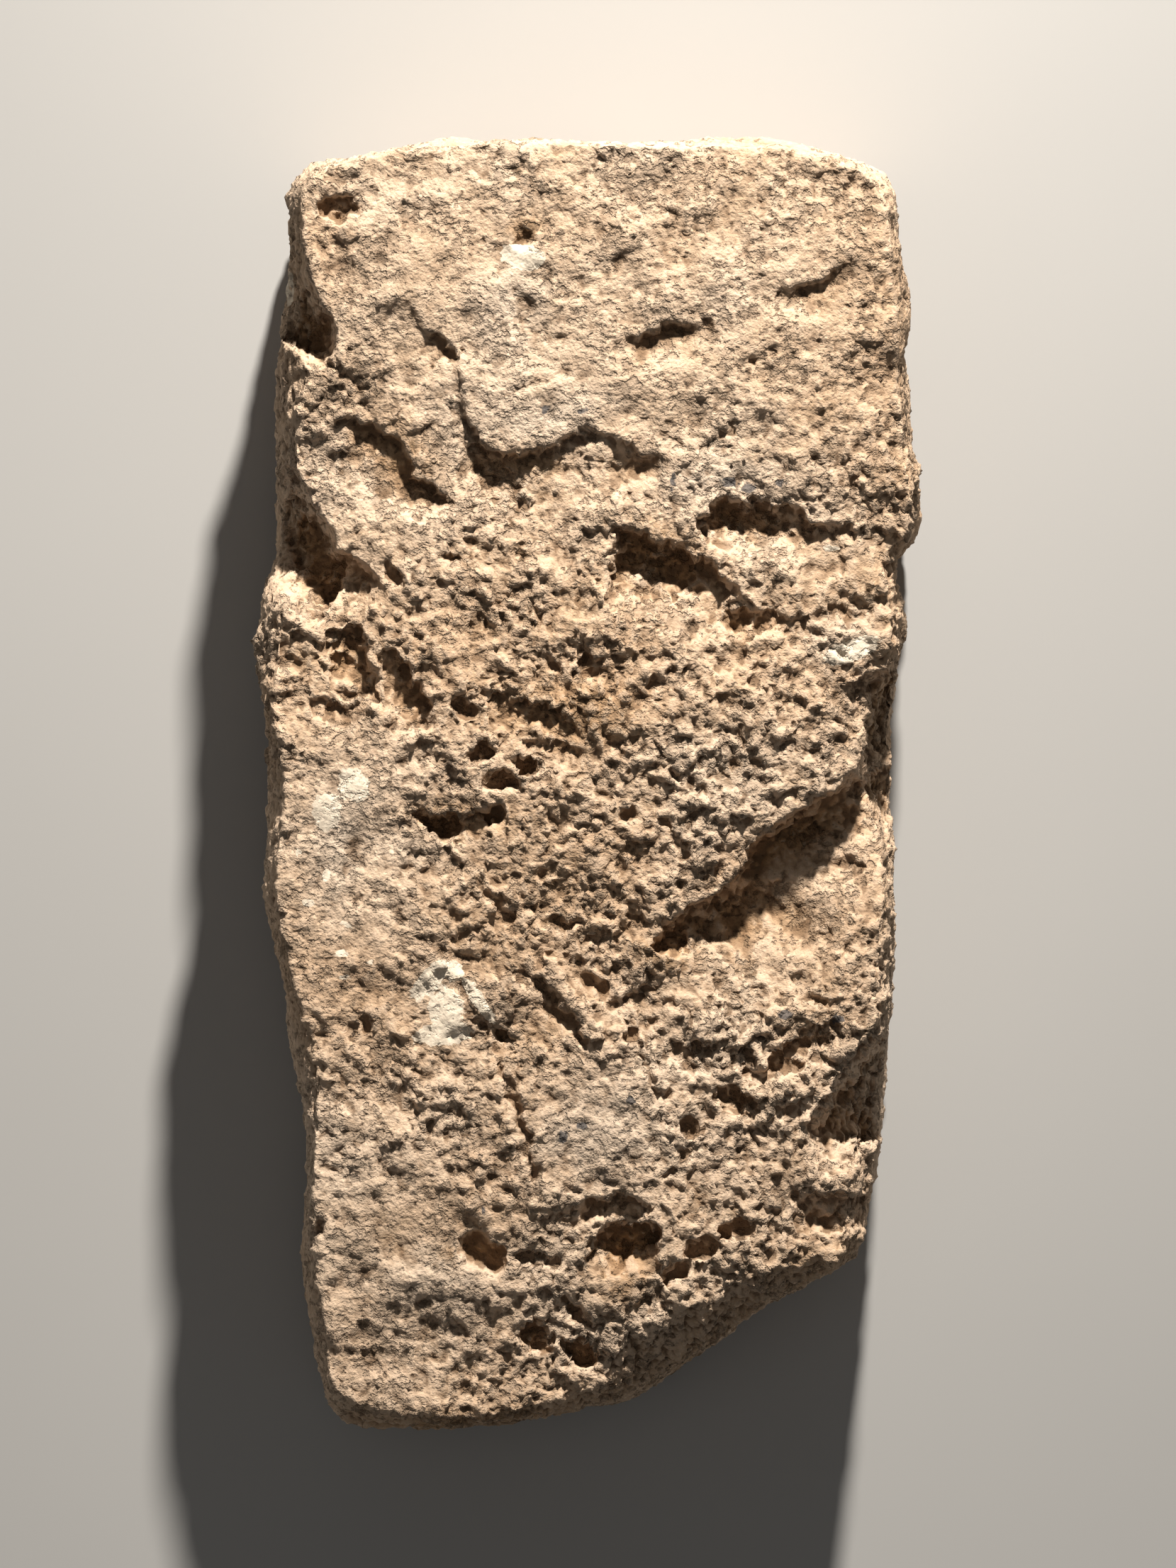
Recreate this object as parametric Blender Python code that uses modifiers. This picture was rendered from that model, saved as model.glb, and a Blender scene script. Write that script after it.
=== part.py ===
"""Worn limestone stele, lying on its back.

A thick rough-hewn slab with a broken slanting foot. Its front carries relief that is nearly worn away:
a raised upper field, hollows under broken ledges, a slanting channel, a short raised bar and a low
rounded panel.
Metres. +Z points out of the carved front, +Y to the top of the stele, +X to the right of the front.
The origin is the centre of the underside, which is the back of the slab.
"""

import bmesh
import bpy
import numpy as np
from mathutils import Vector, noise

# Overall sizes
HEIGHT = 0.925
WIDTH = 0.478
THICKNESS = 0.205

# The sides
WIDEST_FROM = 0.038  # height above the back where the slab reaches its full outline
WIDEST_TO = 0.118  # height above the back where the outline starts to draw in to the front
BACK_CHAMFER = 0.022  # how far the edge of the back is drawn in
SIDE_ROUGH = 0.0045
SIDE_ROUGH_SIZE = 0.055

# The back
BEARING_MARGIN = 0.060  # width of the uneven border around the flat middle
BACK_HOLLOW = 0.006  # depth of the hollows in the border
BACK_HOLLOW_SIZE = 0.090
FLAT_WITHIN = 0.0004  # unevenness that is taken off the flat middle

# The front
DEPTH_UNIT = 0.001  # the heights and depths of the carving are listed in millimetres
CARVED_FROM = 0.45  # share of the thickness at which the carving starts to move the edges
CARVED_TO = 0.97  # and from which it moves the stone in full
DEEPEST = 62  # the carving never goes deeper than this
RAGGED = 0.0042  # how far the line of a ledge wanders
RAGGED_SIZE = 0.026
WANDER_SEED = 3
SWELL = 0.0042  # long waves
SWELL_SIZE = 0.095
LUMPS = 0.0034  # broken lumps
LUMP_SIZE = 0.034

# Fineness of the solid
CELL = 0.0050  # cell of the even mesh that takes the carving
CURVE_STEPS = 4  # straight pieces of a curve between two of its points
FACES = 9400  # triangles that are kept

LIMESTONE = (0.56, 0.44, 0.32, 1.0)
STONE_ROUGHNESS = 0.95

# The front is drawn on a grid: x to the right, y down. Its full outline spans this box of the grid.
DRAWN_LEFT, DRAWN_TOP, DRAWN_RIGHT, DRAWN_BOTTOM = 353.0, 185.0, 1303.0, 2027.0

# Ribs of the slab, clockwise from the top left corner: a point of the full outline, and the point of the
# front's rim that goes with it.
TOP_RIBS = (
    ((404, 262), (420, 270)),
    ((426, 228), (442, 240)),
    ((500, 204), (505, 214)),
    ((600, 188), (602, 198)),
    ((737, 181), (738, 191)),
    ((840, 184), (840, 194)),
    ((960, 186), (960, 197)),
    ((1100, 186), (1096, 198)),
    ((1200, 208), (1190, 222)),
    ((1262, 240), (1247, 258)),
)
RIGHT_RIBS = (
    ((1276, 340), (1262, 345)),
    ((1291, 430), (1268, 440)),
    ((1284, 485), (1270, 485)),
    ((1290, 580), (1276, 585)),
    ((1303, 690), (1288, 685)),
    ((1301, 742), (1286, 735)),
    ((1270, 795), (1252, 790)),
    ((1283, 890), (1262, 885)),
    ((1269, 950), (1255, 946)),
    ((1263, 1020), (1226, 1020)),
    ((1261, 1090), (1216, 1095)),
    ((1266, 1200), (1248, 1205)),
    ((1266, 1350), (1246, 1350)),
    ((1264, 1450), (1240, 1438)),
    ((1257, 1530), (1196, 1532)),
    ((1248, 1610), (1178, 1612)),
    ((1232, 1720), (1202, 1716)),
    ((1203, 1782), (1180, 1784)),
)
FOOT_RIBS = (
    ((1125, 1826), (1140, 1772)),
    ((1066, 1862), (1060, 1806)),
    ((1000, 1916), (1000, 1834)),
    ((905, 1978), (892, 1885)),
    ((850, 1993), (852, 1950)),
    ((760, 2013), (760, 1986)),
    ((640, 2027), (640, 2003)),
    ((510, 2017), (512, 1991)),
    ((458, 1986), (464, 1956)),
)
LEFT_RIBS = (
    ((434, 1895), (458, 1893)),
    ((421, 1765), (440, 1765)),
    ((428, 1640), (438, 1645)),
    ((420, 1550), (442, 1556)),
    ((402, 1465), (436, 1470)),
    ((388, 1370), (408, 1375)),
    ((367, 1245), (384, 1250)),
    ((371, 1130), (398, 1135)),
    ((368, 1010), (382, 1010)),
    ((353, 925), (388, 925)),
    ((366, 835), (398, 835)),
    ((383, 760), (444, 770)),
    ((384, 685), (428, 688)),
    ((384, 590), (412, 590)),
    ((385, 500), (440, 500)),
    ((396, 400), (438, 400)),
    ((402, 310), (424, 310)),
)

# Sections of the edge from the widest level to the front: share of the height, share of the way to the rim.
EDGE_SECTIONS = ((0.62, 0.12), (0.84, 0.45), (0.95, 0.80), (1.0, 1.0))

# Ledges: grid x, grid y and drop along the line, then the widths in metres of the wall, of the low floor
# under it and of the slope on which the stone rises again. The stone drops to the right of who walks along.
LEDGES = {
    "left_of_upper_field": (
        (
            (577, 408, 0), (602, 455, 5), (650, 486, 8), (652, 530, 4), (664, 600, 6), (704, 628, 9),
            (745, 632, 10), (792, 614, 8), (826, 600, 5), (880, 616, 5), (925, 640, 5), (940, 684, 0),
        ),
        (0.004, 0.008, 0.050),
    ),
    "main_hollow": (
        (
            (866, 736, 0), (890, 742, 18), (940, 764, 20), (998, 782, 16), (1021, 815, 11),
            (1060, 838, 7), (1104, 862, 5), (1115, 880, 0),
        ),
        (0.005, 0.012, 0.045),
    ),
    "right_hollow": (
        (
            (965, 744, 0), (990, 716, 13), (1040, 703, 15), (1100, 708, 13), (1165, 732, 6),
            (1245, 738, 5), (1300, 750, 3),
        ),
        (0.005, 0.008, 0.030),
    ),
    "under_right_lobe": (
        ((1098, 880, 0), (1150, 862, 3), (1230, 830, 4), (1290, 805, 4)),
        (0.003, 0.005, 0.022),
    ),
    "on_right_lobe": (((1115, 808, 0), (1152, 790, 3), (1200, 782, 0)), (0.003, 0.003, 0.012)),
    "left_edge": (
        ((421, 268, 0), (429, 362, 20), (447, 414, 32), (464, 448, 36), (465, 490, 30), (444, 516, 0)),
        (0.012, 0.012, 0.024),
    ),
    "left_shelf": (
        (
            (464, 580, 0), (500, 584, 8), (548, 602, 9), (572, 640, 8), (586, 664, 10),
            (622, 684, 10), (650, 718, 0),
        ),
        (0.004, 0.007, 0.028),
    ),
    "left_shoulder": (
        (
            (400, 640, 0), (428, 690, 30), (456, 728, 42), (466, 768, 38), (500, 780, 20),
            (530, 812, 8), (548, 832, 0),
        ),
        (0.008, 0.018, 0.036),
    ),
    "left_hollow": (
        ((440, 900, 0), (475, 882, 8), (508, 897, 13), (528, 968, 11), (538, 992, 0)),
        (0.004, 0.008, 0.022),
    ),
    "left_scarp": (((530, 900, 0), (568, 926, 11), (600, 985, 13), (622, 1014, 0)), (0.005, 0.007, 0.030)),
    "left_slip": (((425, 985, 0), (470, 981, 6), (524, 1000, 0)), (0.003, 0.004, 0.016)),
    "middle_step": (((690, 968, 0), (720, 984, 7), (790, 1002, 7), (835, 1012, 0)), (0.004, 0.005, 0.022)),
    "middle_step_low": (((700, 1022, 0), (765, 1034, 6), (855, 1055, 0)), (0.004, 0.005, 0.022)),
    "twin_holes": (
        (
            (580, 1148, 0), (600, 1140, 13), (632, 1146, 14), (656, 1150, 3), (672, 1138, 12),
            (700, 1136, 13), (716, 1156, 0),
        ),
        (0.004, 0.007, 0.012),
    ),
    "channel": (
        (
            (905, 1345, 0), (968, 1284, 18), (1040, 1234, 26), (1084, 1172, 30), (1165, 1120, 34),
            (1310, 1056, 38),
        ),
        (0.011, 0.014, 0.080),
    ),
    "channel_end": (((851, 1424, 0), (884, 1406, 6), (908, 1382, 7), (930, 1352, 0)), (0.005, 0.004, 0.026)),
    "right_notch": (
        ((1150, 976, 0), (1196, 964, 10), (1235, 950, 34), (1312, 925, 46)),
        (0.006, 0.040, 0.020),
    ),
    "right_edge": (
        ((1190, 1112, 0), (1218, 1070, 36), (1221, 1020, 40), (1228, 985, 30), (1222, 950, 0)),
        (0.010, 0.040, 0.020),
    ),
    "right_scoop": (
        (
            (1176, 1668, 0), (1146, 1618, 20), (1150, 1584, 36), (1182, 1540, 46), (1206, 1492, 50),
            (1258, 1452, 50), (1320, 1425, 46),
        ),
        (0.014, 0.030, 0.040),
    ),
    "right_crack": (
        (
            (935, 1496, 0), (985, 1470, 6), (1050, 1478, 5), (1084, 1500, 8), (1120, 1466, 7),
            (1170, 1446, 6), (1222, 1416, 0),
        ),
        (0.003, 0.004, 0.018),
    ),
    "right_pocket": (
        ((1000, 1552, 0), (1030, 1540, 9), (1062, 1548, 8), (1080, 1560, 0)),
        (0.004, 0.005, 0.014),
    ),
    "over_dug_hole": (
        ((740, 1722, 0), (800, 1706, 6), (845, 1684, 9), (900, 1696, 9), (924, 1712, 0)),
        (0.004, 0.004, 0.020),
    ),
    "dug_hole": (
        (
            (822, 1802, 0), (832, 1760, 14), (866, 1732, 22), (908, 1728, 22), (934, 1758, 16),
            (930, 1810, 0),
        ),
        (0.006, 0.017, 0.026),
    ),
    "low_right_corner": (
        ((1100, 1700, 0), (1150, 1688, 10), (1215, 1690, 14), (1250, 1680, 10)),
        (0.005, 0.010, 0.016),
    ),
    "thin_ledge_middle": (
        ((846, 480, 0), (905, 466, 6), (955, 449, 6), (1012, 437, 0)),
        (0.003, 0.002, 0.030),
    ),
    "thin_ledge_right": (((1084, 413, 0), (1150, 388, 5), (1242, 342, 0)), (0.003, 0.002, 0.030)),
    "short_lip": (((815, 1298, 0), (864, 1313, 6), (904, 1276, 0)), (0.004, 0.003, 0.018)),
}

# Pits: grid centre x, y, half-width, half-height in grid squares, turn in degrees, depth.
PITS = {
    "top_left_pit": (474, 285, 34, 22, 0, 10),
    "top_cup": (739, 330, 16, 12, 0, 5),
    "channel_pocket": (952, 1330, 28, 18, -20, 8),
    "dug_hole_floor": (874, 1776, 32, 32, 0, 6),
    "foot_pit": (679, 1771, 38, 24, 32, 12),
    "foot_crack": (756, 1778, 32, 16, 10, 5),
    "foot_cup_left": (756, 1894, 26, 20, 0, 9),
    "foot_cup_right": (813, 1914, 26, 18, 20, 9),
    "foot_dent": (1038, 1740, 26, 15, 0, 9),
    "foot_dent_middle": (995, 1766, 24, 14, -20, 8),
    "foot_dent_left": (952, 1799, 26, 16, -25, 9),
    "panel_pit": (977, 1594, 17, 11, 0, 7),
    "right_pit": (1152, 1405, 16, 9, 0, 5),
    "middle_pit": (888, 1142, 18, 12, 0, 6),
    "long_pit": (826, 936, 11, 16, 20, 6),
    "low_slot": (800, 1297, 20, 9, 8, 6),
    "bar_pit": (714, 1459, 20, 11, 15, 7),
    "shelf_pit": (630, 781, 22, 9, 0, 5),
    "shelf_slot": (554, 808, 10, 20, -35, 6),
    "broken_pit_high": (652, 1000, 18, 12, 20, 7),
    "broken_pit_left": (676, 1060, 24, 16, -15, 10),
    "broken_pit_right": (738, 1076, 24, 13, 15, 9),
    "broken_pit_low": (700, 1100, 24, 13, 0, 9),
    "under_lobe_pit": (1045, 866, 24, 18, 10, 7),
    "left_low_pit": (519, 1442, 15, 9, 5, 5),
    "left_bottom_pit": (440, 1745, 14, 16, 0, 6),
}

# Raised bars: grid line, half-width in metres, height.
BARS = {
    "raised_bar": (((772, 1364), (836, 1453)), 0.0082, 6),
}

# Cut lines: grid line, half-width in metres, depth.
GROOVES = {
    "left_of_bar": (((744, 1370), (776, 1412), (822, 1472)), 0.0034, 3),
    "right_of_bar": (((800, 1350), (832, 1385), (866, 1424)), 0.0040, 4),
    "short_cut": (((924, 1140), (946, 1168), (965, 1202)), 0.0028, 4),
    "left_of_panel": (((706, 1496), (722, 1550), (738, 1602), (757, 1664)), 0.0032, 5),
    "right_of_panel": (((890, 1462), (914, 1508), (934, 1540)), 0.0034, 5),
    "slanting_cut": (((672, 1246), (692, 1268), (716, 1294)), 0.0040, 4),
}

# Soft rises and sinkings of the front: grid centre x, y, half-width, half-height, turn in degrees, height.
SWELLINGS = {
    "upper_field": (840, 380, 520, 260, 0, 6),
    "middle_mass": (900, 1010, 330, 230, 15, 5),
    "low_panel": (835, 1590, 150, 130, 20, 5),
    "left_flank": (430, 740, 130, 300, 0, -10),
    "low_right_flank": (1120, 1330, 190, 90, 20, -6),
    "foot": (640, 1960, 420, 120, -5, -6),
    "right_border": (1280, 1000, 90, 700, 0, -5),
    "scoop_bed": (1240, 1600, 80, 120, 0, -5),
}


def square():
    """The size of a grid square across and up the stone, in metres."""
    return np.array((WIDTH / (DRAWN_RIGHT - DRAWN_LEFT), HEIGHT / (DRAWN_BOTTOM - DRAWN_TOP)))


def on_stone(points):
    """Grid points as x and y on the stone, in metres."""
    centre = np.array(((DRAWN_LEFT + DRAWN_RIGHT) / 2, (DRAWN_TOP + DRAWN_BOTTOM) / 2))
    return (np.asarray(points, float)[..., :2] - centre) * square() * (1, -1)


def smooth(low, high, value):
    """0 below low, 1 above high, and an S-shaped rise between them."""
    share = np.clip((value - low) / (high - low), 0, 1)
    return share * share * (3 - 2 * share)


def flowing(points, closed=False):
    """A smooth curve through the points, as a row of more points."""
    points = np.array(points, float)
    if closed:
        padded = np.concatenate((points[-1:], points, points[:2]))
    else:
        padded = np.concatenate((points[:1], points, points[-1:]))
    row = []
    for before, start, end, after in zip(padded[:-3], padded[1:-2], padded[2:-1], padded[3:]):
        for share in np.arange(CURVE_STEPS) / CURVE_STEPS:
            bend = (2 * before - 5 * start + 4 * end - after) * share**2
            twist = (3 * start - before - 3 * end + after) * share**3
            row.append((2 * start + (end - before) * share + bend + twist) / 2)
    return np.array(row if closed else row + [points[-1]])


def along(route, places):
    """For each place, the nearest point of the route: how far away it is, counted as positive to the right
    of someone who walks along it, and where it lies, counted in stretches of the route."""
    nearest = np.full(len(places), np.inf)
    signed = np.zeros(len(places))
    where = np.zeros(len(places))
    for number, (start, end) in enumerate(zip(route[:-1], route[1:])):
        direction = end - start
        reach = places - start
        share = np.clip(reach @ direction / (direction @ direction), 0, 1)
        away = np.hypot(*(reach - share[:, None] * direction).T)
        to_right = direction[1] * reach[:, 0] - direction[0] * reach[:, 1]
        nearer = away < nearest
        nearest[nearer] = away[nearer]
        signed[nearer] = (np.sign(to_right) * away)[nearer]
        where[nearer] = number + share[nearer]
    return signed, where


def ledge_height(places, line, widths):
    """The stone drops over the wall on the right of the line, stays low on the floor, then rises again."""
    wall, floor, slope = widths
    foot = wall + floor
    curve = flowing(line)
    route = on_stone(curve)
    height = np.zeros(len(places))
    near = ((places > route.min(0) - foot - slope) & (places < route.max(0) + foot + slope)).all(1)
    lee, where = along(route, places[near])
    drop = np.interp(where, np.arange(len(curve)), np.maximum(curve[:, 2], 0))
    scarp = 1 - (1 - np.clip(lee / wall, 0, 1)) ** 2
    height[near] = -drop * scarp * (1 - smooth(foot, foot + slope, lee))
    return height


def oval(places, centre_x, centre_y, half_width, half_height, turn):
    """How far each place is from an oval's centre: 1 on the oval. A positive turn is clockwise."""
    reach = (places - on_stone((centre_x, centre_y))) / square() * (1, -1)
    cosine, sine = np.cos(np.radians(turn)), np.sin(np.radians(turn))
    across = reach[:, 0] * cosine + reach[:, 1] * sine
    down = reach[:, 1] * cosine - reach[:, 0] * sine
    return np.hypot(across / half_width, down / half_height)


def pit_height(places, centre_x, centre_y, half_width, half_height, turn, depth):
    return -depth * (1 - smooth(0.5, 1.08, oval(places, centre_x, centre_y, half_width, half_height, turn)))


def swelling_height(places, centre_x, centre_y, half_width, half_height, turn, height):
    return height * (1 - smooth(0.3, 1.3, oval(places, centre_x, centre_y, half_width, half_height, turn)))


def bar_height(places, line, half_width, height):
    away = np.abs(along(on_stone(line), places)[0]) / half_width
    return height * np.sqrt(np.clip(1 - away**4, 0, 1))


def groove_height(places, line, half_width, depth):
    away = np.abs(along(on_stone(line), places)[0])
    return -depth * (1 - smooth(0.2 * half_width, 1.6 * half_width, away))


def wander(points, amount, size):
    """A smooth random shift at each point, the same in every run."""
    noise.seed_set(WANDER_SEED)
    return amount * np.array([noise.noise_vector(Vector(point) / size) for point in points])


def waves(points, amount, size, octaves, seed):
    """Rough ground at each point: a sum of noises, each half as long and half as high as the last."""
    shift = Vector((0, seed, 0))
    places = [Vector(point) / size + shift for point in points]
    return amount * np.array([noise.fractal(place, 1.0, 2.0, octaves) for place in places])


def front_height(points):
    """Height of the carved front over its rim at each point, in metres."""
    flat = points * (1, 1, 0)
    places = (flat + wander(flat, RAGGED, RAGGED_SIZE))[:, :2]
    height = np.zeros(len(places))
    for shape, features in (
        (swelling_height, SWELLINGS),
        (ledge_height, LEDGES),
        (pit_height, PITS),
        (bar_height, BARS),
        (groove_height, GROOVES),
    ):
        for sizes in features.values():
            height += shape(places, *sizes)
    height = np.maximum(height, -DEEPEST) * DEPTH_UNIT
    return height + waves(flat, SWELL, SWELL_SIZE, 3, 11.0) + waves(flat, LUMPS, LUMP_SIZE, 3, 23.0)


def slab_sections():
    """The slab's cross-sections from the back to the front, each a level and an outline."""
    ribs = np.array(TOP_RIBS + RIGHT_RIBS + FOOT_RIBS + LEFT_RIBS, float)
    full = on_stone(flowing(ribs[:, 0], closed=True))
    rim = on_stone(flowing(ribs[:, 1], closed=True))
    chamfer = 2 * BACK_CHAMFER / np.array((WIDTH, HEIGHT))
    sections = [
        (0.0, full * (1 - chamfer)),
        (WIDEST_FROM / 3, full * (1 - chamfer / 3)),
        (WIDEST_FROM, full),
        (WIDEST_TO, full),
    ]
    for share_up, share_in in EDGE_SECTIONS:
        sections.append((WIDEST_TO + (THICKNESS - WIDEST_TO) * share_up, full + (rim - full) * share_in))
    return sections


def make_slab():
    """The slab before carving: its cross-sections joined up, closed and made an even fine mesh."""
    shape = bmesh.new()
    loops = [[shape.verts.new((x, y, level)) for x, y in outline] for level, outline in slab_sections()]
    for lower, upper in zip(loops[:-1], loops[1:]):
        for number, start in enumerate(lower):
            shape.faces.new((start, upper[number], upper[number - 1], lower[number - 1]))
    shape.faces.new(loops[0])
    shape.faces.new(loops[-1])
    bmesh.ops.recalc_face_normals(shape, faces=shape.faces)
    mesh = bpy.data.meshes.new("slab")
    shape.to_mesh(mesh)
    shape.free()
    slab = bpy.data.objects.new("slab", mesh)
    even = slab.modifiers.new("even", "REMESH")
    even.mode = "VOXEL"
    even.voxel_size = CELL
    return slab


def evaluated_copy(obj, name):
    """The object's mesh with its modifiers carried out, as a mesh of its own."""
    bpy.context.view_layer.update()
    mesh = bpy.data.meshes.new_from_object(obj.evaluated_get(bpy.context.evaluated_depsgraph_get()))
    mesh.name = name
    return mesh


def values_of(items, field, width):
    """A field of all of a mesh's vertices or normals, as rows of numbers."""
    values = np.empty(len(items) * width, np.float32)
    items.foreach_get(field, values)
    return values.reshape(-1, width).astype(float)


def carve(mesh):
    """Moves the fine mesh's points: carves the front, roughens the sides, hollows the border of the back."""
    points = values_of(mesh.vertices, "co", 3)
    normals = values_of(mesh.vertex_normals, "vector", 3)
    level = points[:, 2] / THICKNESS
    moved = points.copy()

    on_side = smooth(0.02, 0.2, level) * (1 - smooth(0.85, 0.98, level))
    moved += normals * (waves(points, SIDE_ROUGH, SIDE_ROUGH_SIZE, 3, 5.0) * on_side)[:, None]
    moved[:, 2] += front_height(points) * smooth(CARVED_FROM, CARVED_TO, level)

    to_edge = (np.array((WIDTH, HEIGHT)) / 2 - np.abs(points[:, :2])).min(1)
    border = 1 - smooth(0.3 * BEARING_MARGIN, BEARING_MARGIN, to_edge)
    hollow = np.abs(waves(points * (1, 1, 0), BACK_HOLLOW, BACK_HOLLOW_SIZE, 3, 41.0))
    moved[:, 2] += hollow * border * (1 - smooth(0.0, 0.12, level))
    moved[(level < 0.02) & (border <= 0), 2] = 0
    moved[:, 2] = np.maximum(moved[:, 2], 0)

    mesh.vertices.foreach_set("co", moved.ravel())
    mesh.update()


def thin_out(stone):
    """Keeps the triangles that the form needs."""
    stone.data.calc_loop_triangles()
    fewer = stone.modifiers.new("fewer", "DECIMATE")
    fewer.ratio = FACES / len(stone.data.loop_triangles)
    fewer.use_collapse_triangulate = True


def fit_to_size(mesh):
    """Gives the stone its overall sizes and sets it on the ground, with an evenly flat middle of its back."""
    points = values_of(mesh.vertices, "co", 3)
    low, high = points.min(0), points.max(0)
    middle = (low + high) / 2 * (1, 1, 0) + low * (0, 0, 1)
    points = (points - middle) * np.array((WIDTH, HEIGHT, THICKNESS)) / (high - low)
    points[points[:, 2] < FLAT_WITHIN, 2] = 0
    mesh.vertices.foreach_set("co", points.ravel())
    mesh.update()


def limestone():
    material = bpy.data.materials.new("limestone")
    material.use_nodes = True
    shader = material.node_tree.nodes["Principled BSDF"]
    shader.inputs["Base Color"].default_value = LIMESTONE
    shader.inputs["Roughness"].default_value = STONE_ROUGHNESS
    shader.inputs["Metallic"].default_value = 0.0
    return material


def main():
    for obj in list(bpy.data.objects):
        bpy.data.objects.remove(obj)
    collection = bpy.data.collections.new("limestone_stele")
    bpy.context.scene.collection.children.link(collection)

    slab = make_slab()
    collection.objects.link(slab)
    carved = bpy.data.objects.new("carved", evaluated_copy(slab, "carved"))
    bpy.data.objects.remove(slab)
    carve(carved.data)
    thin_out(carved)
    collection.objects.link(carved)
    stone = bpy.data.objects.new("stele", evaluated_copy(carved, "stele"))
    bpy.data.objects.remove(carved)
    fit_to_size(stone.data)
    stone.data.materials.append(limestone())
    collection.objects.link(stone)


main()
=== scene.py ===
"""The look of the worn limestone stele.

A fine mesh with the solid's own form takes the solid's place. It has the same sides, ledges, pits, bars
and cuts, and on top of them the broken crumb, flakes and small pits of the stone. Colours, crust and grain
are procedural.
"""

import bmesh
import bpy
import numpy as np
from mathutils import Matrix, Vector, noise


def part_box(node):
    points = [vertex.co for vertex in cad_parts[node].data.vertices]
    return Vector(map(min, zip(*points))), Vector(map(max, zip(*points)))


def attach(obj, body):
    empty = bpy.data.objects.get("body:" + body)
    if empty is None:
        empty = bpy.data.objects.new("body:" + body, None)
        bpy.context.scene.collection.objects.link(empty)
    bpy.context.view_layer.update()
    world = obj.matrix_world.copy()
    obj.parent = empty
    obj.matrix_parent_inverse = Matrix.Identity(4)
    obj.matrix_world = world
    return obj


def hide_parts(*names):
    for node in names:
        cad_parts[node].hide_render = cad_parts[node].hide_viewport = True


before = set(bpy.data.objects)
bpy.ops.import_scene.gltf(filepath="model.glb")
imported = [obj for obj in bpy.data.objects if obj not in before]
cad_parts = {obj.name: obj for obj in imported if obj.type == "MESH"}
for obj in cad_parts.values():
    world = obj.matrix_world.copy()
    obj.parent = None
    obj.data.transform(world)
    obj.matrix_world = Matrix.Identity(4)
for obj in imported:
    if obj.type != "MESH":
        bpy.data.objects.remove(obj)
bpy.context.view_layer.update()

# Overall sizes, from the frame
LOW, HIGH = (np.array(corner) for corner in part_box("stele"))
WIDTH, HEIGHT, THICKNESS = HIGH - LOW

# The sides and the back, as in the solid
WIDEST_FROM = 0.038  # height above the back where the slab reaches its full outline
WIDEST_TO = 0.118  # height above the back where the outline starts to draw in to the front
BACK_CHAMFER = 0.022  # how far the edge of the back is drawn in
SIDE_BEGINS = (0.02, 0.2)  # shares of the thickness between which the rough side begins
SIDE_ENDS = (0.85, 0.98)  # and between which it ends
SIDE_ROUGH = 0.0045
SIDE_ROUGH_SIZE = 0.055
BEARING_MARGIN = 0.060  # width of the uneven border around the flat middle of the back
BORDER_FADE = 0.3  # share of the border's width from which its hollows fade out to the middle
BACK_HOLLOW = 0.006  # depth of the hollows in the border
BACK_HOLLOW_SIZE = 0.090
BACK_ENDS = (0.0, 0.12)  # shares of the thickness between which the back's hollows end
FLAT_LEVEL = 0.02  # share of the thickness under which the middle of the back is made flat

# The front, as in the solid
DEPTH_UNIT = 0.001  # the heights and depths of the carving are listed in millimetres
CARVED_FROM = 0.45  # share of the thickness at which the carving starts to move the edges
CARVED_TO = 0.97  # and from which it moves the stone in full
DEEPEST = 62  # the carving never goes deeper than this
RAGGED = 0.0042  # how far the line of a ledge wanders
RAGGED_SIZE = 0.026
WANDER_SEED = 3
SWELL = 0.0042  # long waves
SWELL_SIZE = 0.095
LUMPS = 0.0034  # broken lumps
LUMP_SIZE = 0.034
PIT_EDGE = (0.5, 1.08)  # shares of a pit's size between which its wall rises
SWELLING_EDGE = (0.3, 1.3)  # shares of a swelling's size between which it fades out
GROOVE_EDGE = (0.2, 1.6)  # shares of a cut's half-width between which its wall rises

# The broken surface, finer than the solid's
FINE_RAGGED = 0.0048  # how far the larger flaws of a line or a lump shift it
FINE_RAGGED_SIZE = 0.012
FRAYED = 0.0022  # and how far the smaller ones do
FRAYED_SIZE = 0.0052
LINE_FRAYING = 1.5  # how much more the lines of the carving are frayed than the lumps
DEEP_LEDGE = 24  # walls of a greater drop than this are less frayed
DEEP_FRAYING = 0.4  # and this is their share of the fraying
SLANT = 24  # the broken skin runs down to the right, in degrees
STRETCH = 1.25  # how much longer than wide its lumps and pits are
LEAN = (0.12, -0.40)  # how far lumps lean to the right and up, as a share of their height
FLAKES = ((0.030, 0.0019), (0.014, 0.0012))  # size of the flakes and depth that each leaves
FLAKE_EDGE = (-0.02, 0.12)  # values of the noise between which a flake is lost
CLODS = 0.0046
CLOD_SIZE = 0.0105
CLOD_LAYERS = 4  # layers of noise in the clods
CLOD_FINER = 2.1  # how much finer each layer is than the last
CLOD_ROUGHNESS = 0.68  # and how strong it is against the last
HOLES = 0.0020
HOLE_SIZE = 0.0085
HOLE_EDGE = (0.46, 0.72)  # values of the noise between which a hole is open
HOLE_GROUPS = 0.055  # size of the groups that the holes lie in
GROUPING = 0.9  # how strongly the holes keep to their groups
BROKEN_LIMITS = (0.15, 1.6)  # the least and the most that the broken skin shows
SIDE_CRUMB = 0.6  # share of the broken skin that shows on the sides
SIDE_CRUMB_BEGINS = (0.0, 0.1)  # shares of the thickness between which it begins there

# Where each kind of ground lies in the noise, so that no two are alike
SIDE_SEED = 5.0
SWELL_SEED = 11.0
LUMP_SEED = 23.0
FLAKE_SEED = 31.0
BACK_SEED = 41.0
CLOD_SEED = 57.0
HOLE_SEED = 83.0
GROUP_SEED = 91.0

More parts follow.
